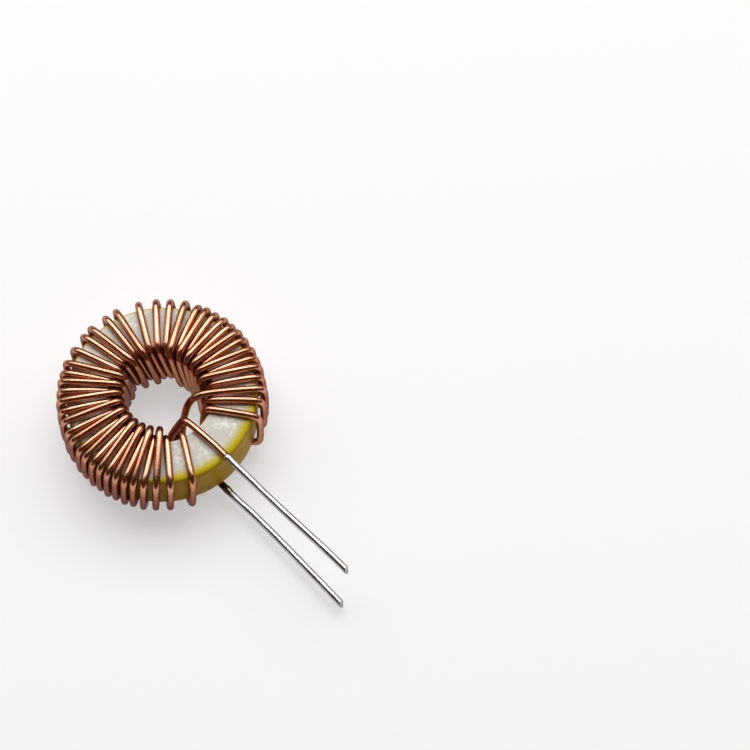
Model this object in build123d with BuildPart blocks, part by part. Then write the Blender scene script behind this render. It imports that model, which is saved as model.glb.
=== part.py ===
"""Toroidal inductor: a painted iron-powder ring wound with one enamelled copper wire.

Millimetres. The ring stands on its winding at z = 0 with its axis on +Z, and both leads run out along +X.
Bearings are degrees clockwise from the leads, seen from above.
"""

import math
import os

from build123d import *

os.makedirs("parts", exist_ok=True)

# Core: a pressed iron-powder ring of the 17.5 mm size with its coat of paint
core_outside_d = 17.7
core_bore_d = 9.5
core_height = 5.25
core_edge_chamfer = 0.45

# Wire over its enamel, and stripped of it at the leads. Each is an eight-sided bar with the round wire's area.
wire_d = 0.68
stripped_d = 0.58
wire_sides = 8
side_angle = math.tau / wire_sides
bar_share = math.sqrt(side_angle / math.sin(side_angle))
wire_r = wire_d / 2 * bar_share
stripped_r = stripped_d / 2 * bar_share

# Slack of a hand-wound coil
face_gap = 0.02
bore_gap = 0.04
wall_gap = 0.3
turn_gap = 0.02

# How far a front turn rides over its neighbours at the bore, above and below the core
ride_top = 0.8
ride_bottom = 0.98

# How far the feet of the front turns reach below the last crossing
foot_drop = 0.07

# Bend radii of the wire, on its centre line
wall_bend = 1.0
back_bend = 0.75
front_bend = 0.95

# Lean of the wire down the outer wall and down the bore, in degrees
wall_lean = 2
bore_lean = 15
first_bore_lean = 24.4

# Leads: straight ends with a coat of solder that starts this far outside the core
upper_tin_gap = 0.05
upper_tin_length = 15.9
upper_lead_y = 0.12
lower_tin_gap = 0.45
lower_tin_length = 16
lower_lead_y = -0.75
tin_d = 0.66
tin_cap = 0.12
tin_tip_chamfer = 0.15

# Start of the winding: the upper lead swings a little on the core, dips into the bore and leans across.
# Each inset is how far the wire stands in from the layer that lies on the bore wall.
start_swing_inset = 1.35
start_swing_bend = 3.0
start_lip_inset = 1
start_lip_bearing = 4
start_sag_inset = 1.3
start_sag_bearing = 27
start_foot_inset = 1.1
start_foot_bearing = 33

# End of the winding: a loose last turn hangs clear of the bore wall and leaves below the core
end_outer_bearing = 311.6
end_wall_slack = 0.15
end_shoulder_rise = 0.1
end_lip_inset = 1.6
end_lip_bearing = 323
end_lip_rise = 0.6
end_lip_bend = 2.0
end_sag_inset = 1.95
end_sag_bearing = 349
end_foot_inset = 1.2

# Both loose ends sag to this share of the core's height
sag_share = 0.45
sag_bend = 1.0

# Heights of the runs: the core stands on two layers of wire where the last turn crosses below
layer_step = 2 * wire_r + turn_gap
core_bottom = foot_drop + wire_r + layer_step + wire_r + face_gap
core_top = core_bottom + core_height
top_run = core_top + face_gap + wire_r
bottom_run = core_bottom - face_gap - wire_r
crossing_run = bottom_run - layer_step
sag_height = core_bottom + core_height * sag_share

# Radii of the runs
wall_radius = core_outside_d / 2 + wall_gap + wire_r
back_radius = core_bore_d / 2 - bore_gap - wire_r

# Where the coats of solder start and end along the leads
upper_tin_x = core_outside_d / 2 + upper_tin_gap
upper_tip_x = upper_tin_x + upper_tin_length
lower_tin_x = core_outside_d / 2 + lower_tin_gap
lower_tip_x = lower_tin_x + lower_tin_length
start_swing_x = core_outside_d / 2 - start_swing_inset

# Each turn: bearing at the outer rim, bearing at the bore edge, and its layer in the bore at the top and at
# the foot (0 lies on the core, 1 lies in front of its neighbours, and shares between them hang loose)
turns = [
    (24.6, 16.4, 0, 0),
    (37.3, 35.8, 0, 0),
    (45.5, 42.8, 1, 1),
    (52.6, 50.2, 0, 0),
    (58.5, 56.1, 1, 1),
    (63.8, 62.0, 0, 0),
    (69.2, 68.5, 1, 1),
    (74.5, 74.6, 0, 0),
    (79.6, 81.0, 1, 1),
    (85.0, 86.4, 0, 0),
    (90.7, 93.4, 1, 1),
    (96.0, 98.7, 0, 0),
    (103.1, 105.2, 1, 1),
    (108.7, 110.5, 0, 0),
    (115.8, 118.0, 1, 1),
    (122.2, 123.4, 0, 0),
    (128.7, 130.5, 1, 1),
    (135.0, 135.8, 0, 0),
    (141.1, 142.4, 1, 1),
    (146.5, 147.9, 0, 0),
    (152.8, 154.6, 1, 1),
    (162.2, 163.6, 0, 0.55),
    (171.9, 173.6, 0, 0.3),
    (178.1, 181.6, 1, 1),
    (188.7, 191.0, 0, 0.4),
    (195.8, 199.9, 1, 1),
    (209.3, 208.4, 0, 0.5),
    (219.6, 218.5, 0, 0.4),
    (227.8, 228.5, 0, 0.15),
    (236.6, 234.9, 1, 1),
    (244.3, 242.2, 0, 0),
    (249.6, 247.5, 1, 1),
    (255.1, 254.0, 0, 0),
    (261.5, 259.6, 1, 1),
    (266.9, 265.9, 0, 0),
    (272.5, 271.5, 1, 1),
    (278.2, 277.9, 0, 0),
    (285.8, 283.6, 1, 1),
    (291.6, 290.5, 0, 0),
    (297.5, 296.4, 1, 1),
    (304.0, 304.5, 0, 0),
    (318.7, 323.8, 0, 0),
    (328.7, 335.1, 0, 0),
]


def at(radius, bearing, height):
    """Point at a radius from the ring's axis, on a bearing clockwise from the leads."""
    angle = math.radians(-bearing)
    return Vector(radius * math.cos(angle), radius * math.sin(angle), height)


def bent(corners):
    """Route through (point, bend radius) corners, each bend kept as its start, middle and end."""
    route = [corners[0][0]]
    for (before, _), (corner, bend), (after, _) in zip(corners, corners[1:], corners[2:]):
        back = (before - corner).normalized()
        ahead = (after - corner).normalized()
        half_turn = (math.pi - math.acos(back.dot(ahead))) / 2
        tangent = bend * math.tan(half_turn)
        inset = bend / math.cos(half_turn) - bend
        route.append(corner + back * tangent)
        route.append(corner + (back + ahead).normalized() * inset)
        route.append(corner + ahead * tangent)
    route.append(corners[-1][0])
    return route


# Corners of the wire, from where its enamel starts on the upper lead to where it ends on the lower one
upper_strip = Vector(upper_tin_x, upper_lead_y, top_run)
lower_strip = Vector(lower_tin_x, lower_lead_y, bottom_run)
upper_wire_end = Vector(upper_tip_x - tin_cap, upper_lead_y, top_run)
lower_wire_end = Vector(lower_tip_x - tin_cap, lower_lead_y, bottom_run)
corners = [
    (upper_strip, 0),
    (Vector(start_swing_x, upper_lead_y, top_run), start_swing_bend),
    (at(back_radius - start_lip_inset, start_lip_bearing, top_run), front_bend),
    (at(back_radius - start_sag_inset, start_sag_bearing, sag_height), sag_bend),
    (at(back_radius - start_foot_inset, start_foot_bearing, bottom_run), front_bend),
]
for place, (outer, inner, layer, foot_layer) in enumerate(turns):
    first = place == 0
    last = place == len(turns) - 1
    bore_bend = front_bend if layer else back_bend
    lean = first_bore_lean if first else bore_lean
    foot = crossing_run if last else bottom_run - ride_bottom * foot_layer
    corners.append((at(wall_radius, outer + wall_lean, bottom_run), wall_bend))
    corners.append((at(wall_radius, outer, top_run), wall_bend))
    corners.append((at(back_radius - layer_step * layer, inner, top_run + ride_top * layer), bore_bend))
    corners.append((at(back_radius - layer_step * foot_layer, inner + lean, foot), bore_bend))
corners += [
    (at(wall_radius, end_outer_bearing + wall_lean, crossing_run), wall_bend),
    (at(wall_radius + end_wall_slack, end_outer_bearing, top_run + end_shoulder_rise), wall_bend),
    (at(back_radius - end_lip_inset, end_lip_bearing, top_run + end_lip_rise), end_lip_bend),
    (at(back_radius - end_sag_inset, end_sag_bearing, sag_height), sag_bend),
    (Vector(back_radius - end_foot_inset, lower_lead_y, bottom_run), front_bend),
    (lower_strip, 0),
]
wire_route = bent(corners)

# Core: its section turned round the axis
with BuildPart() as core:
    with BuildSketch(Plane.XZ) as core_section:
        with Locations(((core_outside_d + core_bore_d) / 4, (core_bottom + core_top) / 2)):
            Rectangle((core_outside_d - core_bore_d) / 2, core_height)
        chamfer(core_section.vertices(), length=core_edge_chamfer)
    revolve(axis=Axis.Z)
core.part.label = "core"
export_step(core.part, "parts/core.step")

# Winding: one wire from lead tip to lead tip, stripped at both ends
with BuildPart() as winding:
    with BuildLine() as wire_line:
        Polyline(*wire_route)
    with BuildSketch(Plane(origin=wire_route[0], z_dir=wire_route[1] - wire_route[0])):
        RegularPolygon(radius=wire_r, side_count=wire_sides)
    sweep(path=wire_line.wires()[0], transition=Transition.RIGHT)
    for strip, end in ((upper_strip, upper_wire_end), (lower_strip, lower_wire_end)):
        with BuildSketch(Plane(origin=strip, z_dir=end - strip)):
            RegularPolygon(radius=stripped_r, side_count=wire_sides)
        extrude(amount=(end - strip).length)
winding.part.label = "winding"
export_step(winding.part, "parts/winding.step")


def tinning(start, tip):
    """Coat of solder round a lead: a sleeve on the wire, closed by a bevelled tip."""
    with BuildPart() as coat:
        with BuildSketch(Plane(origin=start, z_dir=tip - start)):
            Circle(tin_d / 2)
        extrude(amount=(tip - start).length)
        chamfer(coat.faces().sort_by(Axis.X)[-1].edges(), length=tin_tip_chamfer)
        add(winding.part, mode=Mode.SUBTRACT)
    return coat.part


# Tinning of the two leads
upper_lead_tinning = tinning(upper_strip, Vector(upper_tip_x, upper_lead_y, top_run))
upper_lead_tinning.label = "upper_lead_tinning"
export_step(upper_lead_tinning, "parts/upper_lead_tinning.step")

lower_lead_tinning = tinning(lower_strip, Vector(lower_tip_x, lower_lead_y, bottom_run))
lower_lead_tinning.label = "lower_lead_tinning"
export_step(lower_lead_tinning, "parts/lower_lead_tinning.step")
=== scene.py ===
"""Toroidal inductor: winds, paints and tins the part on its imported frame, and sets it on a studio floor.

Metres, in the frame of the CAD model: the ring's axis on +Z, the leads along +X and the winding standing on
z = 0. Bearings are degrees clockwise from the leads, seen from above.
"""

import math

import bpy
from bpy.props import FloatProperty, FloatVectorProperty, IntProperty, PointerProperty
from mathutils import Matrix, Vector, noise


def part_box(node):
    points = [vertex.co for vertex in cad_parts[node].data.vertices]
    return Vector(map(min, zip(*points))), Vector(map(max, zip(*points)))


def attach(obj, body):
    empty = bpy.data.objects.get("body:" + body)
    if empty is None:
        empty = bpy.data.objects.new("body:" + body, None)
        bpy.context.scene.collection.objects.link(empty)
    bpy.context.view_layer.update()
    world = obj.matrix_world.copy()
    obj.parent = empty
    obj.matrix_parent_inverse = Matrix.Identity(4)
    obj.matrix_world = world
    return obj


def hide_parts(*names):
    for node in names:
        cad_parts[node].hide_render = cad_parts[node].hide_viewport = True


bl_info = {
    "name": "Toroidal inductor",
    "version": (1, 0, 0),
    "blender": (4, 5, 0),
    "location": "View3D > Sidebar > Inductor",
    "description": "Paints, winds and tins a toroidal inductor on its packed frame",
    "category": "Add Mesh",
}

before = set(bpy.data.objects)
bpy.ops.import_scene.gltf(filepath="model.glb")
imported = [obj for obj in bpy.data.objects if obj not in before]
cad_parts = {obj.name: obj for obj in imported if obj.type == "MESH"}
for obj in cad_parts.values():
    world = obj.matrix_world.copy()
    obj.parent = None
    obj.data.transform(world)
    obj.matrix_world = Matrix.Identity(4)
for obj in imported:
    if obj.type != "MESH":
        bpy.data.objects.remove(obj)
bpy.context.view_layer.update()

MM = 0.001

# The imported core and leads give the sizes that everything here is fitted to
CORE_LOW, CORE_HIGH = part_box("core")
BORE_RADIUS = min(math.hypot(v.co.x, v.co.y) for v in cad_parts["core"].data.vertices)
UPPER_LOW, UPPER_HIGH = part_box("upper_lead_tinning")
LOWER_LOW, LOWER_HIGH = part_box("lower_lead_tinning")

# How far each lead strays sideways from straight, at distances from the ring's axis, in millimetres
UPPER_STRAY = [(8.9, -0.12), (14.4, -0.06), (16.8, -0.02), (19.2, 0.06), (21.6, 0.13), (24.8, 0.15)]
LOWER_STRAY = [(9.3, -0.03), (10.7, -0.03), (12.8, 0.05), (16.2, 0.05), (19.8, -0.03), (25.3, -0.16)]

# Each turn: bearing at the outer rim, bearing at the bore edge, and its layer in the bore at the top and at
# the foot (0 lies on the core, 1 lies in front of its neighbours, and shares between them hang loose)
TURNS = [
    (24.6, 16.4, 0, 0), (37.3, 35.8, 0, 0), (45.5, 42.8, 1, 1), (52.6, 50.2, 0, 0),
    (58.5, 56.1, 1, 1), (63.8, 62.0, 0, 0), (69.2, 68.5, 1, 1), (74.5, 74.6, 0, 0),
    (79.6, 81.0, 1, 1), (85.0, 86.4, 0, 0), (90.7, 93.4, 1, 1), (96.0, 98.7, 0, 0),
    (103.1, 105.2, 1, 1), (108.7, 110.5, 0, 0), (115.8, 118.0, 1, 1), (122.2, 123.4, 0, 0),
    (128.7, 130.5, 1, 1), (135.0, 135.8, 0, 0), (141.1, 142.4, 1, 1), (146.5, 147.9, 0, 0),
    (152.8, 154.6, 1, 1), (162.2, 163.6, 0, 0.55), (171.9, 173.6, 0, 0.3), (178.1, 181.6, 1, 1),
    (188.7, 191.0, 0, 0.4), (195.8, 199.9, 1, 1), (209.3, 208.4, 0, 0.5), (219.6, 218.5, 0, 0.4),
    (227.8, 228.5, 0, 0.15), (236.6, 234.9, 1, 1), (244.3, 242.2, 0, 0), (249.6, 247.5, 1, 1),
    (255.1, 254.0, 0, 0), (261.5, 259.6, 1, 1), (266.9, 265.9, 0, 0), (272.5, 271.5, 1, 1),
    (278.2, 277.9, 0, 0), (285.8, 283.6, 1, 1), (291.6, 290.5, 0, 0), (297.5, 296.4, 1, 1),
    (304.0, 304.5, 0, 0), (318.7, 323.8, 0, 0), (328.7, 335.1, 0, 0),
]

# Spacing of the wire, as in the CAD model
CAD_WIRE_SIDES = 8
FACE_GAP = 0.02 * MM
TURN_GAP = 0.02 * MM
WALL_GAP = 0.3 * MM
BORE_GAP = 0.04 * MM
RIDE_TOP = 0.8 * MM
RIDE_BOTTOM = 0.98 * MM

# Bend radii of the wire, and its lean down the outer wall and down the bore in degrees
WALL_BEND = 1.0 * MM
BACK_BEND = 0.75 * MM
FRONT_BEND = 0.95 * MM
SAG_BEND = 1.0 * MM
WALL_LEAN = 2
BORE_LEAN = 15
FIRST_BORE_LEAN = 24.4

# Start of the winding: each inset is how far the wire stands in from the layer on the bore wall
START_SWING = 1.4 * MM
START_SWING_BEND = 3 * MM
START_LIP_INSET = 1.0 * MM
START_LIP_BEARING = 4
START_SAG_INSET = 1.3 * MM
START_SAG_BEARING = 27
START_FOOT_INSET = 1.1 * MM
START_FOOT_BEARING = 33

# End of the winding: a loose last turn that hangs clear of the bore wall and leaves below the core
END_OUTER_BEARING = 311.6
END_WALL_SLACK = 0.15 * MM
END_SHOULDER_RISE = 0.1 * MM
END_LIP_INSET = 1.6 * MM
END_LIP_BEARING = 323
END_LIP_RISE = 0.6 * MM
END_LIP_BEND = 2 * MM
END_SAG_INSET = 1.95 * MM
END_SAG_BEARING = 349
END_FOOT_INSET = 1.2 * MM

# Both loose ends sag to this share of the core's height
SAG_SHARE = 0.45

# Smoothness of the wire along its route and round its section, as a curve's resolutions
WIRE_RESOLUTION = 4
WIRE_BEVEL_RESOLUTION = 5

# Steps of the ring's section: in each rounded corner, and along each side
CORNER_STEPS = 6
SIDE_STEPS = 6

# Coat of solder: steps along and round it, and its lap over the enamel
COAT_STEPS = 160
COAT_SIDES = 24
COAT_LAP = 0.06 * MM

# Its bead, which peaks at this share of its length, and its swells with a seed for each lead
BEAD_LENGTH = 0.3 * MM
BEAD_PEAK_SHARE = 0.9
SWELL = 0.018 * MM
SWELL_LENGTH = 1.4 * MM
UPPER_SEED = 3.0
LOWER_SEED = 11.0

# Its tip, which narrows to a share of the radius and is cut back on one side by a share of the diameter
NOSE_LENGTH = 0.12 * MM
NOSE_SHARE = 0.75
CUT_LENGTH = 0.5 * MM
CUT_SHARE = 0.7

# Stage, in metres and degrees: the floor, each lamp's place, width and depth, and the camera
FLOOR_HALF = 0.8
SOFTBOX = ((-0.15, 0.145, 0.4), 0.5, 0.36)
LEFT_CARD = ((-0.383, -0.116, 0.3), 0.3, 0.26)
RIGHT_CARD = ((0.103, 0.387, 0.3), 0.3, 0.26)
CAMERA_PLACE = Vector((105.41, -74.23, 315.28)) * MM
CAMERA_AZIMUTH = 46
CAMERA_ELEVATION = 67.264
SENSOR_WIDTH = 36
CLIP_START = 0.01


def linear(code):
    """Linear RGBA of an sRGB hex colour such as "#B0693A"."""
    parts = [int(code[i:i + 2], 16) / 255 for i in (1, 3, 5)]
    return [c / 12.92 if c <= 0.04045 else ((c + 0.055) / 1.055) ** 2.4 for c in parts] + [1.0]


def colour(name, description, code):
    """Colour property with a hex default."""
    return FloatVectorProperty(
        name=name, description=description, subtype="COLOR", size=4, min=0, max=1, default=linear(code)
    )


def length(name, description, millimetres):
    """Length property with a default in millimetres."""
    return FloatProperty(
        name=name, description=description, unit="LENGTH", precision=5, default=millimetres * MM
    )


class CoreSettings(bpy.types.PropertyGroup):
    """Sizes and paints of the ring."""

    edge_radius: length("Edge radius", "Rounding of the ring's painted edges", 0.4)
    steps: IntProperty(name="Steps", description="Steps of the ring all the way round", default=240, min=24)
    # Painted glints: the brighter flecks of this white stand in for glints of the semi-gloss skin
    white: colour("White", "Flecks of thick paint on the top face", "#EFEDE6")
    white_shade: colour("White, thin", "White paint of the top face where it lies thin", "#CBCAC0")
    yellow: colour("Yellow", "Paint of the sides and the underside", "#C09804")
    yellow_shade: colour("Yellow, thin", "Yellow paint where it lies thin", "#AC8404")
    yellow_bright: colour("Bright yellow", "Overspray on the top face", "#C2B11A")
    band: length("Overspray band", "Width of the overspray on the side of the leads", 1.2)


class WireSettings(bpy.types.PropertyGroup):
    """Sizes and finish of the wire."""

    diameter: length("Diameter", "Wire over its enamel", 0.68)
    copper: colour("Copper", "Copper seen through the enamel", "#E8B69A")
    copper_deep: colour("Deep copper", "Copper where the enamel is thick", "#B45A20")
    copper_edge: colour("Copper edge", "Tint of the copper at grazing angles, under more enamel", "#4A1808")
    # Scorch next to the solder, and painted shade along the lower lead's wire where it leaves from under
    # the ring
    scorch_and_shade: colour("Burnt enamel", "Enamel scorched next to the solder", "#2E1A0E")


class SolderSettings(bpy.types.PropertyGroup):
    """Sizes and finish of the solder on the leads."""

    diameter: length("Diameter", "Lead over its solder", 0.66)
    bead: length("Bead", "How far the bead at the start stands out", 0.05)
    bright: colour("Solder", "Bright dipped solder", "#DFE0E2")
    dull: colour("Dull solder", "Solder that set slowly", "#B4B5B8")
    edge: colour("Solder edge", "Tint of the solder at grazing angles", "#3C3C40")
    # Flux stain where each coat starts, and painted shade along the lower lead where it leaves from under
    # the ring
    flux_and_shade: colour("Burnt flux", "Stain where the solder starts", "#5A4A2A")


class StageSettings(bpy.types.PropertyGroup):
    """Floor, light and camera."""

    paper: colour("Paper", "Floor under the part", "#FAFAFA")
    paper_white: FloatProperty(
        name="White share", description="How much of the floor shows as plain white",
        default=0.5, min=0, max=1,
    )
    key_power: FloatProperty(name="Key light", description="Softbox above, in watts", default=2.25, min=0)
    card_power: FloatProperty(
        name="Side lights", description="Each side card, in watts", default=0.36, min=0
    )
    walls: colour("Walls", "Warm colour of the studio walls", "#FFC8A0")
    sky: FloatProperty(name="Sky", description="Level of the studio walls", default=0.07, min=0)
    lens: FloatProperty(name="Lens", description="Focal length in millimetres", default=172.8, min=1)


def node(tree, kind, inputs=None, **settings):
    """Adds a node with its settings, and sets or links its inputs by name or number."""
    made = tree.nodes.new(kind)
    for name, value in settings.items():
        setattr(made, name, value)
    for name, value in (inputs or {}).items():
        if isinstance(value, bpy.types.NodeSocket):
            tree.links.new(value, made.inputs[name])
        else:
            made.inputs[name].default_value = value
    return made


def blank_material(name):
    """New node material with its node tree empty."""
    material = bpy.data.materials.new(name)
    material.use_nodes = True
    material.node_tree.nodes.clear()
    return material, material.node_tree


def per_metre(size):
    """Texture scale of a pattern whose features are this many metres apart."""
    return 1 / size


def stained_and_shaded(tree, place, base, stain, strength, full_share, reaches):
    """Colour with a stain where each lead's solder starts, at full strength within a share of its reach;
    where a caller gives the lower lead a longer reach, that extra darkening is painted shade.
    """
    for low, high, reach in zip((UPPER_LOW, LOWER_LOW), (UPPER_HIGH, LOWER_HIGH), reaches):
        start = (low.x, (low.y + high.y) / 2, (low.z + high.z) / 2)
        away = node(tree, "ShaderNodeVectorMath", {0: place, 1: start}, operation="DISTANCE")
        amount = node(tree, "ShaderNodeMapRange", {
            "Value": away.outputs["Value"], "From Min": full_share * reach, "From Max": reach,
            "To Min": strength, "To Max": 0.0,
        })
        mix = node(tree, "ShaderNodeMix", {
            0: amount.outputs["Result"], 6: base, 7: stain,
        }, data_type="RGBA")
        base = mix.outputs[2]
    return base


def core_paint(settings):
    """Epoxy paint on pressed iron powder, sprayed yellow all over and white on the top face.

    A semi-gloss skin with faint reflections and an orange-peel surface. The white lies unevenly, and its
    brighter flecks are painted glints of the skin; on the side of the leads the yellow shows through it as
    speckles towards the rim.
    """
    material, tree = blank_material("epoxy paint, sprayed")
    place = node(tree, "ShaderNodeTexCoord").outputs["Object"]
    axes = node(tree, "ShaderNodeSeparateXYZ", {"Vector": place}).outputs
    flat = node(tree, "ShaderNodeCombineXYZ", {"X": axes["X"], "Y": axes["Y"]}).outputs["Vector"]
    radius = node(tree, "ShaderNodeVectorMath", {0: flat}, operation="LENGTH").outputs["Value"]
    edge = settings.edge_radius

    # Speckles of overspray
    speckle = node(tree, "ShaderNodeTexNoise", {
        "Vector": place, "Scale": per_metre(0.3 * MM), "Detail": 4.0, "Roughness": 0.75,
    })
    # Patches where the coat is thicker
    patch = node(tree, "ShaderNodeTexNoise", {
        "Vector": place, "Scale": per_metre(1.7 * MM), "Detail": 3.0, "Roughness": 0.55,
    })
    # Orange peel of the sprayed skin
    peel = node(tree, "ShaderNodeTexNoise", {
        "Vector": place, "Scale": per_metre(0.4 * MM), "Detail": 3.0, "Roughness": 0.6,
    })

    # The yellow reaches in from the rim, furthest on the side of the leads
    bearing_cosine = node(tree, "ShaderNodeMath", {0: axes["X"], 1: radius}, operation="DIVIDE")
    reach = node(tree, "ShaderNodeMapRange", {
        "Value": bearing_cosine.outputs["Value"], "From Min": 0.6, "From Max": 0.85,
        "To Min": edge, "To Max": settings.band,
    })
    inward = node(tree, "ShaderNodeMath", {0: CORE_HIGH.x, 1: radius}, operation="SUBTRACT")
    reach_share = node(tree, "ShaderNodeMath", {
        0: inward.outputs["Value"], 1: reach.outputs["Result"],
    }, operation="DIVIDE")
    cover = node(tree, "ShaderNodeMath", {
        0: speckle.outputs["Fac"], 1: reach_share.outputs["Value"],
    }, operation="SUBTRACT")
    overspray = node(tree, "ShaderNodeMapRange", {
        "Value": cover.outputs["Value"], "From Min": -0.5, "From Max": 0.15,
    })

    # Painted glints: brighter flecks of white where patches and peel are both high
    glint_noise = node(tree, "ShaderNodeMath", {
        0: patch.outputs["Fac"], 1: peel.outputs["Fac"],
    }, operation="ADD")
    painted_glint = node(tree, "ShaderNodeMapRange", {
        "Value": glint_noise.outputs["Value"], "From Min": 1.0, "From Max": 1.3,
    })
    white = node(tree, "ShaderNodeMix", {
        0: painted_glint.outputs["Result"], 6: settings.white_shade[:], 7: settings.white[:],
    }, data_type="RGBA")

    # The top face changes to the yellow of the sides within the rounded edge
    white_face = node(tree, "ShaderNodeMapRange", {
        "Value": axes["Z"], "From Min": CORE_HIGH.z - 0.6 * edge, "From Max": CORE_HIGH.z - 0.25 * edge,
    })
    top = node(tree, "ShaderNodeMix", {
        0: overspray.outputs["Result"], 6: white.outputs[2], 7: settings.yellow_bright[:],
    }, data_type="RGBA")
    side = node(tree, "ShaderNodeMix", {
        0: patch.outputs["Fac"], 6: settings.yellow_shade[:], 7: settings.yellow[:],
    }, data_type="RGBA")
    paint = node(tree, "ShaderNodeMix", {
        0: white_face.outputs["Result"], 6: side.outputs[2], 7: top.outputs[2],
    }, data_type="RGBA")

    gloss = node(tree, "ShaderNodeMapRange", {
        "Value": patch.outputs["Fac"], "From Min": 0.3, "From Max": 0.7, "To Min": 0.45, "To Max": 0.25,
    })
    skin = node(tree, "ShaderNodeBump", {
        "Height": peel.outputs["Fac"], "Strength": 0.5, "Distance": 0.06 * MM,
    })
    shader = node(tree, "ShaderNodeBsdfPrincipled", {
        "Base Color": paint.outputs[2], "Roughness": gloss.outputs["Result"],
        "Normal": skin.outputs["Normal"], "IOR": 1.55, "Specular IOR Level": 0.03,
    })
    node(tree, "ShaderNodeOutputMaterial", {"Surface": shader.outputs["BSDF"]})
    return material


def enamelled_copper(settings):
    """Drawn copper wire in a clear polyurethane enamel.

    A warm metal under a thin gloss coat: bright lines along the wire, deep red-brown between the turns, and
    enamel scorched dark where the ends were dipped in solder, with painted shade along the lower lead's
    end.
    """
    material, tree = blank_material("copper wire, enamelled")
    place = node(tree, "ShaderNodeTexCoord").outputs["Object"]

    # Slow changes in how thick the enamel lies along the wire
    drift = node(tree, "ShaderNodeTexNoise", {
        "Vector": place, "Scale": per_metre(2.5 * MM), "Detail": 3.0, "Roughness": 0.5,
    })
    # Handling marks in the enamel
    mark = node(tree, "ShaderNodeTexNoise", {
        "Vector": place, "Scale": per_metre(0.3 * MM), "Detail": 3.0, "Roughness": 0.6,
    })
    metal = node(tree, "ShaderNodeMix", {
        0: drift.outputs["Fac"], 6: settings.copper_deep[:], 7: settings.copper[:],
    }, data_type="RGBA")

    # The enamel is scorched next to the solder, and its longer darkening along the lower lead, where it
    # leaves from under the ring, is painted shade
    wire = stained_and_shaded(
        tree, place, metal.outputs[2], settings.scorch_and_shade[:],
        strength=1.0, full_share=0.6, reaches=(0.5 * MM, 1.6 * MM),
    )
    gloss = node(tree, "ShaderNodeMapRange", {
        "Value": mark.outputs["Fac"], "From Min": 0.3, "From Max": 0.75, "To Min": 0.2, "To Max": 0.3,
    })
    shader = node(tree, "ShaderNodeBsdfPrincipled", {
        "Base Color": wire, "Metallic": 1.0, "Roughness": gloss.outputs["Result"],
        "Coat Weight": 0.3, "Coat Roughness": 0.1, "Coat IOR": 1.55,
        "Specular Tint": settings.copper_edge[:],
    })
    node(tree, "ShaderNodeOutputMaterial", {"Surface": shader.outputs["BSDF"]})
    return material


def dipped_solder(settings):
    """Tin solder, dipped and left to set: a bright metal skin with soft ripples and duller patches."""
    material, tree = blank_material("tin solder, dipped")
    place = node(tree, "ShaderNodeTexCoord").outputs["Object"]

    # Ripples of the skin, and the duller patches that go with them
    patch = node(tree, "ShaderNodeTexNoise", {
        "Vector": place, "Scale": per_metre(1.2 * MM), "Detail": 3.0, "Roughness": 0.5,
    })
    metal = node(tree, "ShaderNodeMix", {
        0: patch.outputs["Fac"], 6: settings.dull[:], 7: settings.bright[:],
    }, data_type="RGBA")
    gloss = node(tree, "ShaderNodeMapRange", {
        "Value": patch.outputs["Fac"], "From Min": 0.3, "From Max": 0.7, "To Min": 0.3, "To Max": 0.16,
    })
    ripple = node(tree, "ShaderNodeBump", {
        "Height": patch.outputs["Fac"], "Strength": 0.3, "Distance": 0.05 * MM,
    })

    # Flux stains each coat where it starts; its longer reach along the lower lead, where it leaves from
    # under the ring, is painted shade
    skin = stained_and_shaded(
        tree, place, metal.outputs[2], settings.flux_and_shade[:],
        strength=0.9, full_share=0.5, reaches=(0.4 * MM, 1.5 * MM),
    )
    shader = node(tree, "ShaderNodeBsdfPrincipled", {
        "Base Color": skin, "Metallic": 1.0, "Roughness": gloss.outputs["Result"],
        "Specular Tint": settings.edge[:], "Normal": ripple.outputs["Normal"],
    })
    node(tree, "ShaderNodeOutputMaterial", {"Surface": shader.outputs["BSDF"]})
    return material


def white_paper(settings):
    """Matt white paper: a share of it shows as plain white, and the rest keeps the part's soft shadow."""
    material, tree = blank_material("white paper, matt")
    place = node(tree, "ShaderNodeTexCoord").outputs["Object"]

    # Fibres of the paper, drawn coarser than real ones, which are too fine to show
    fibre = node(tree, "ShaderNodeTexNoise", {
        "Vector": place, "Scale": per_metre(0.4 * MM), "Detail": 3.0,
    })
    grain = node(tree, "ShaderNodeBump", {
        "Height": fibre.outputs["Fac"], "Strength": 0.1, "Distance": 0.02 * MM,
    })
    sheet = node(tree, "ShaderNodeBsdfPrincipled", {
        "Base Color": settings.paper[:], "Roughness": 0.9, "Specular IOR Level": 0.1,
        "Normal": grain.outputs["Normal"],
    })
    plain = node(tree, "ShaderNodeEmission", {"Color": settings.paper[:], "Strength": 1.0})

    # Plain white only to the camera and in what metal mirrors, and never as light on matt surfaces
    seen = node(tree, "ShaderNodeLightPath").outputs
    straight = node(tree, "ShaderNodeMath", {
        0: seen["Is Camera Ray"], 1: seen["Is Glossy Ray"],
    }, operation="MAXIMUM")
    shown = node(tree, "ShaderNodeMath", {
        0: straight.outputs["Value"], 1: seen["Is Transmission Ray"],
    }, operation="MAXIMUM")
    white_share = node(tree, "ShaderNodeMath", {
        0: shown.outputs["Value"], 1: settings.paper_white,
    }, operation="MULTIPLY")
    mixed = node(tree, "ShaderNodeMixShader", {
        "Fac": white_share.outputs["Value"], 1: sheet.outputs["BSDF"], 2: plain.outputs["Emission"],
    })
    node(tree, "ShaderNodeOutputMaterial", {"Surface": mixed.outputs["Shader"]})
    return material


def add_piece(name, data, material, cad_node):
    """Adds an object made of this data, which rides on the frame and stands for a CAD node."""
    data.materials.append(material)
    piece = bpy.data.objects.new(name, data)
    bpy.context.scene.collection.objects.link(piece)
    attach(piece, "root")
    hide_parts(cad_node)


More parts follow.
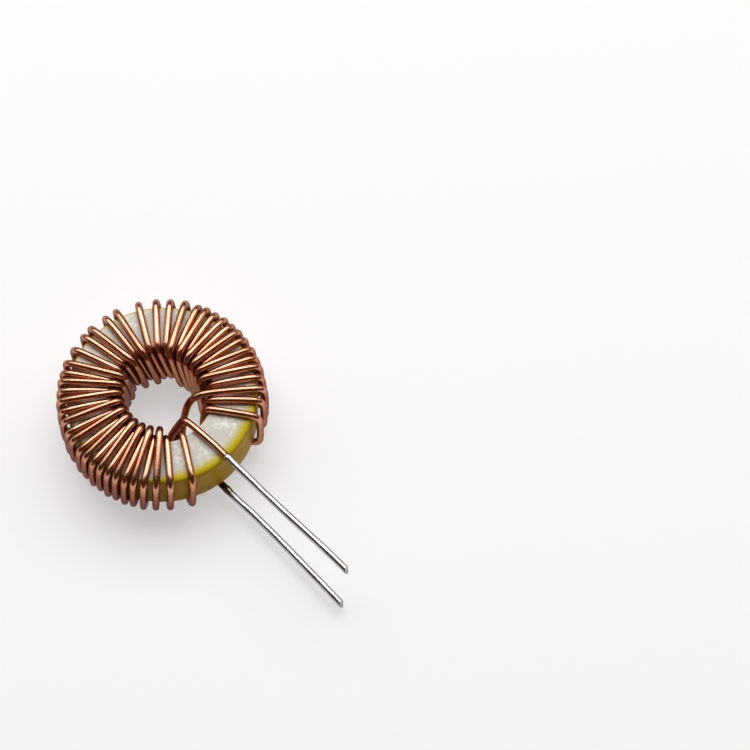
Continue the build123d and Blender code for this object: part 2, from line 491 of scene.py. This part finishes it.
def ring_mesh(name, rings, closed):
    """Smooth mesh through rings of points. If closed, the last meets the first, or else both get caps."""
    count = len(rings[0])
    points = [p for ring in rings for p in ring]
    faces = []
    pairs = len(rings) if closed else len(rings) - 1
    for i in range(pairs):
        this, after = i * count, (i + 1) % len(rings) * count
        for j in range(count):
            k = (j + 1) % count
            faces.append((this + j, this + k, after + k, after + j))
    if not closed:
        faces.append(tuple(reversed(range(count))))
        faces.append(tuple(range(len(points) - count, len(points))))
    mesh = bpy.data.meshes.new(name)
    mesh.from_pydata(points, [], faces)
    mesh.shade_smooth()
    return mesh


def ring_section(edge):
    """Section of the painted ring at Y = 0, its corners rounded to this radius."""
    outer, inner = CORE_HIGH.x - edge, BORE_RADIUS + edge
    low, high = CORE_LOW.z + edge, CORE_HIGH.z - edge
    centres = [(outer, low, -90), (outer, high, 0), (inner, high, 90), (inner, low, 180)]
    arcs = []
    for radius, height, start in centres:
        arc = []
        for step in range(CORNER_STEPS + 1):
            angle = math.radians(start + 90 * step / CORNER_STEPS)
            arc.append(Vector((radius + edge * math.cos(angle), 0, height + edge * math.sin(angle))))
        arcs.append(arc)
    section = []
    for arc, after in zip(arcs, arcs[1:] + arcs[:1]):
        section += arc
        section += [arc[-1].lerp(after[0], step / SIDE_STEPS) for step in range(1, SIDE_STEPS)]
    return section


class INDUCTOR_OT_paint_core(bpy.types.Operator):
    """Turns the ring with rounded edges and paints it"""

    bl_idname = "inductor.paint_core"
    bl_label = "Paint core"

    def execute(self, context):
        settings = context.scene.inductor_core
        section = ring_section(settings.edge_radius)
        rings = []
        for step in range(settings.steps):
            turn = Matrix.Rotation(math.tau * step / settings.steps, 3, "Z")
            rings.append([turn @ point for point in section])
        mesh = ring_mesh("painted_core", rings, closed=True)
        mesh.flip_normals()
        add_piece("painted_core", mesh, core_paint(settings), "core")
        return {"FINISHED"}


def at(radius, bearing, height):
    """Point at a radius from the ring's axis, on a bearing clockwise from the leads."""
    angle = math.radians(-bearing)
    return Vector((radius * math.cos(angle), radius * math.sin(angle), height))


def bent(corners):
    """Route through (point, bend radius) corners, each bend kept as its start, middle and end."""
    route = [corners[0][0]]
    for (before, _), (corner, bend), (after, _) in zip(corners, corners[1:], corners[2:]):
        back = (before - corner).normalized()
        ahead = (after - corner).normalized()
        half_turn = (math.pi - back.angle(ahead)) / 2
        inset = bend / math.cos(half_turn) - bend
        route.append(corner + back * bend * math.tan(half_turn))
        route.append(corner + (back + ahead).normalized() * inset)
        route.append(corner + ahead * bend * math.tan(half_turn))
    route.append(corners[-1][0])
    return route


def lead_point(low, high, stray, x):
    """Point on the centre line of a lead, this far along X, with its stray from straight."""
    marks = [(place * MM, offset * MM) for place, offset in stray]
    for before, after in zip(marks, marks[1:]):
        if x <= after[0]:
            break
    share = min(1, max(0, (x - before[0]) / (after[0] - before[0])))
    offset = before[1] + (after[1] - before[1]) * share
    return Vector((x, (low.y + high.y) / 2 + offset, (low.z + high.z) / 2))


def wire_corners(wire_radius):
    """Corners of the wire with their bend radii, from the solder on one lead to that on the other."""
    layer_step = 2 * wire_radius + TURN_GAP
    wall = CORE_HIGH.x + WALL_GAP + wire_radius
    back = BORE_RADIUS - BORE_GAP - wire_radius
    top = CORE_HIGH.z + FACE_GAP + wire_radius
    bottom = CORE_LOW.z - FACE_GAP - wire_radius
    crossing = bottom - layer_step
    sag = CORE_LOW.z + SAG_SHARE * (CORE_HIGH.z - CORE_LOW.z)
    upper_start = lead_point(UPPER_LOW, UPPER_HIGH, UPPER_STRAY, UPPER_LOW.x)
    lower_start = lead_point(LOWER_LOW, LOWER_HIGH, LOWER_STRAY, LOWER_LOW.x)

    corners = [
        (upper_start, 0),
        (upper_start - Vector((START_SWING, 0, 0)), START_SWING_BEND),
        (at(back - START_LIP_INSET, START_LIP_BEARING, top), FRONT_BEND),
        (at(back - START_SAG_INSET, START_SAG_BEARING, sag), SAG_BEND),
        (at(back - START_FOOT_INSET, START_FOOT_BEARING, bottom), FRONT_BEND),
    ]
    for place, (outer, inner, layer, foot_layer) in enumerate(TURNS):
        lean = BORE_LEAN if place else FIRST_BORE_LEAN
        foot = crossing if place == len(TURNS) - 1 else bottom - RIDE_BOTTOM * foot_layer
        bend = FRONT_BEND if layer else BACK_BEND
        corners += [
            (at(wall, outer + WALL_LEAN, bottom), WALL_BEND),
            (at(wall, outer, top), WALL_BEND),
            (at(back - layer_step * layer, inner, top + RIDE_TOP * layer), bend),
            (at(back - layer_step * foot_layer, inner + lean, foot), bend),
        ]
    corners += [
        (at(wall, END_OUTER_BEARING + WALL_LEAN, crossing), WALL_BEND),
        (at(wall + END_WALL_SLACK, END_OUTER_BEARING, top + END_SHOULDER_RISE), WALL_BEND),
        (at(back - END_LIP_INSET, END_LIP_BEARING, top + END_LIP_RISE), END_LIP_BEND),
        (at(back - END_SAG_INSET, END_SAG_BEARING, sag), SAG_BEND),
        (Vector((back - END_FOOT_INSET, lower_start.y, bottom)), FRONT_BEND),
        (lower_start, 0),
    ]
    return corners


class INDUCTOR_OT_wind_wire(bpy.types.Operator):
    """Winds the ring with one round enamelled wire, from lead to lead"""

    bl_idname = "inductor.wind_wire"
    bl_label = "Wind wire"

    def execute(self, context):
        settings = context.scene.inductor_wire
        # The CAD wire is a bar with flat sides and the round wire's area, and the route keeps its spacing
        side_angle = math.tau / CAD_WIRE_SIDES
        cad_radius = settings.diameter / 2 * math.sqrt(side_angle / math.sin(side_angle))
        route = bent(wire_corners(cad_radius))
        curve = bpy.data.curves.new("enamelled_wire", "CURVE")
        curve.dimensions = "3D"
        curve.resolution_u = WIRE_RESOLUTION
        curve.bevel_depth = settings.diameter / 2
        curve.bevel_resolution = WIRE_BEVEL_RESOLUTION
        curve.use_fill_caps = True
        spline = curve.splines.new("NURBS")
        spline.points.add(len(route) - 1)
        for point, place in zip(spline.points, route):
            point.co = (*place, 1)
        spline.order_u = 3
        spline.use_endpoint_u = True
        spline.use_smooth = True
        add_piece("enamelled_wire", curve, enamelled_copper(settings), "winding")
        return {"FINISHED"}


class INDUCTOR_OT_tin_leads(bpy.types.Operator):
    """Coats both leads with solder, with a bead where the coat starts"""

    bl_idname = "inductor.tin_leads"
    bl_label = "Tin leads"

    def execute(self, context):
        settings = context.scene.inductor_solder
        material = dipped_solder(settings)
        self.coat(settings, material, "upper_lead_tinning", UPPER_LOW, UPPER_HIGH, UPPER_STRAY, UPPER_SEED)
        self.coat(settings, material, "lower_lead_tinning", LOWER_LOW, LOWER_HIGH, LOWER_STRAY, LOWER_SEED)
        return {"FINISHED"}

    @staticmethod
    def coat(settings, material, cad_node, low, high, stray, seed):
        """Sleeve of solder along a lead, uneven by a few hundredths, its tip cut on the slant."""
        start = low.x - COAT_LAP
        radius = settings.diameter / 2
        rings = []
        for step in range(COAT_STEPS + 1):
            x = start + (high.x - start) * step / COAT_STEPS
            to_tip = high.x - x
            centre = lead_point(low, high, stray, x)
            bead = settings.bead * math.exp(-((x - start) / BEAD_LENGTH - BEAD_PEAK_SHARE) ** 2)
            past_nose = max(0.0, 1 - to_tip / NOSE_LENGTH)
            nose = NOSE_SHARE + (1 - NOSE_SHARE) * math.sqrt(max(0.0, 1 - past_nose ** 2))
            cut = CUT_SHARE * max(0.0, 1 - to_tip / CUT_LENGTH)
            ring = []
            for side in range(COAT_SIDES):
                angle = math.tau * side / COAT_SIDES
                around = Vector((0, math.cos(angle), math.sin(angle)))
                swell = noise.noise(Vector((x / SWELL_LENGTH, seed + around.y, around.z))) * SWELL
                point = centre + around * ((radius + swell + bead) * nose)
                point.x -= (1 + (around.y + around.z) / math.sqrt(2)) * radius * cut
                ring.append(point)
            rings.append(ring)
        mesh = ring_mesh(cad_node + "_solder", rings, closed=False)
        add_piece(cad_node + "_solder", mesh, material, cad_node)


def lay_floor(scene, settings):
    """Lays a square of white paper under the part."""
    half = FLOOR_HALF
    paper = bpy.data.meshes.new("paper_floor")
    corners = [(-half, -half, 0), (half, -half, 0), (half, half, 0), (-half, half, 0)]
    paper.from_pydata(corners, [], [(0, 1, 2, 3)])
    paper.materials.append(white_paper(settings))
    floor = bpy.data.objects.new("paper_floor", paper)
    scene.collection.objects.link(floor)


def hang_lamp(scene, name, place, width, depth, power):
    """Hangs a rectangular lamp that faces the part."""
    light = bpy.data.lights.new(name, "AREA")
    light.shape = "RECTANGLE"
    light.size = width
    light.size_y = depth
    light.energy = power
    lamp = bpy.data.objects.new(name, light)
    scene.collection.objects.link(lamp)
    lamp.location = place
    lamp.rotation_euler = (-lamp.location).to_track_quat("-Z", "Y").to_euler()


def paint_walls(scene, settings):
    """Surrounds the stage with the even, dim colour of the studio walls."""
    world = bpy.data.worlds.new("studio")
    world.use_nodes = True
    tree = world.node_tree
    tree.nodes.clear()
    sky = node(tree, "ShaderNodeBackground", {"Color": settings.walls[:], "Strength": settings.sky})
    node(tree, "ShaderNodeOutputWorld", {"Surface": sky.outputs["Background"]})
    scene.world = world


def aim_camera(scene, settings):
    """Sets up the camera at the photograph's viewing angle."""
    camera = bpy.data.cameras.new("camera")
    camera.lens = settings.lens
    camera.sensor_width = SENSOR_WIDTH
    camera.clip_start = CLIP_START
    eye = bpy.data.objects.new("camera", camera)
    scene.collection.objects.link(eye)
    eye.location = CAMERA_PLACE
    azimuth, elevation = math.radians(CAMERA_AZIMUTH), math.radians(CAMERA_ELEVATION)
    look = Vector((
        -math.sin(azimuth) * math.cos(elevation), math.cos(azimuth) * math.cos(elevation),
        -math.sin(elevation),
    ))
    eye.rotation_euler = look.to_track_quat("-Z", "Y").to_euler()
    scene.camera = eye


class INDUCTOR_OT_set_stage(bpy.types.Operator):
    """Lays the paper floor, hangs the lights and sets up the camera"""

    bl_idname = "inductor.set_stage"
    bl_label = "Set stage"

    def execute(self, context):
        scene = context.scene
        settings = scene.inductor_stage
        scene.view_settings.view_transform = "Standard"
        lay_floor(scene, settings)
        # A softbox above and behind, and a card each side that carries the highlights round the turns
        hang_lamp(scene, "softbox", *SOFTBOX, settings.key_power)
        hang_lamp(scene, "left_card", *LEFT_CARD, settings.card_power)
        hang_lamp(scene, "right_card", *RIGHT_CARD, settings.card_power)
        paint_walls(scene, settings)
        aim_camera(scene, settings)
        return {"FINISHED"}


class INDUCTOR_PT_sidebar(bpy.types.Panel):
    """Lists the steps that make the inductor"""

    bl_idname = "INDUCTOR_PT_sidebar"
    bl_label = "Toroidal inductor"
    bl_space_type = "VIEW_3D"
    bl_region_type = "UI"
    bl_category = "Inductor"

    def draw(self, context):
        for operator in OPERATORS:
            self.layout.operator(operator.bl_idname)


SETTINGS = {
    "inductor_core": CoreSettings,
    "inductor_wire": WireSettings,
    "inductor_solder": SolderSettings,
    "inductor_stage": StageSettings,
}
OPERATORS = [INDUCTOR_OT_paint_core, INDUCTOR_OT_wind_wire, INDUCTOR_OT_tin_leads, INDUCTOR_OT_set_stage]
CLASSES = [*SETTINGS.values(), *OPERATORS, INDUCTOR_PT_sidebar]


def register():
    """Adds the settings, the steps and the panel to Blender."""
    for cls in CLASSES:
        bpy.utils.register_class(cls)
    for name, group in SETTINGS.items():
        setattr(bpy.types.Scene, name, PointerProperty(type=group))


def unregister():
    """Takes them out again."""
    for name in SETTINGS:
        delattr(bpy.types.Scene, name)
    for cls in reversed(CLASSES):
        bpy.utils.unregister_class(cls)


def main():
    """Makes the inductor on its stage."""
    register()
    bpy.ops.inductor.paint_core()
    bpy.ops.inductor.wind_wire()
    bpy.ops.inductor.tin_leads()
    bpy.ops.inductor.set_stage()


if __name__ == "__main__":
    main()
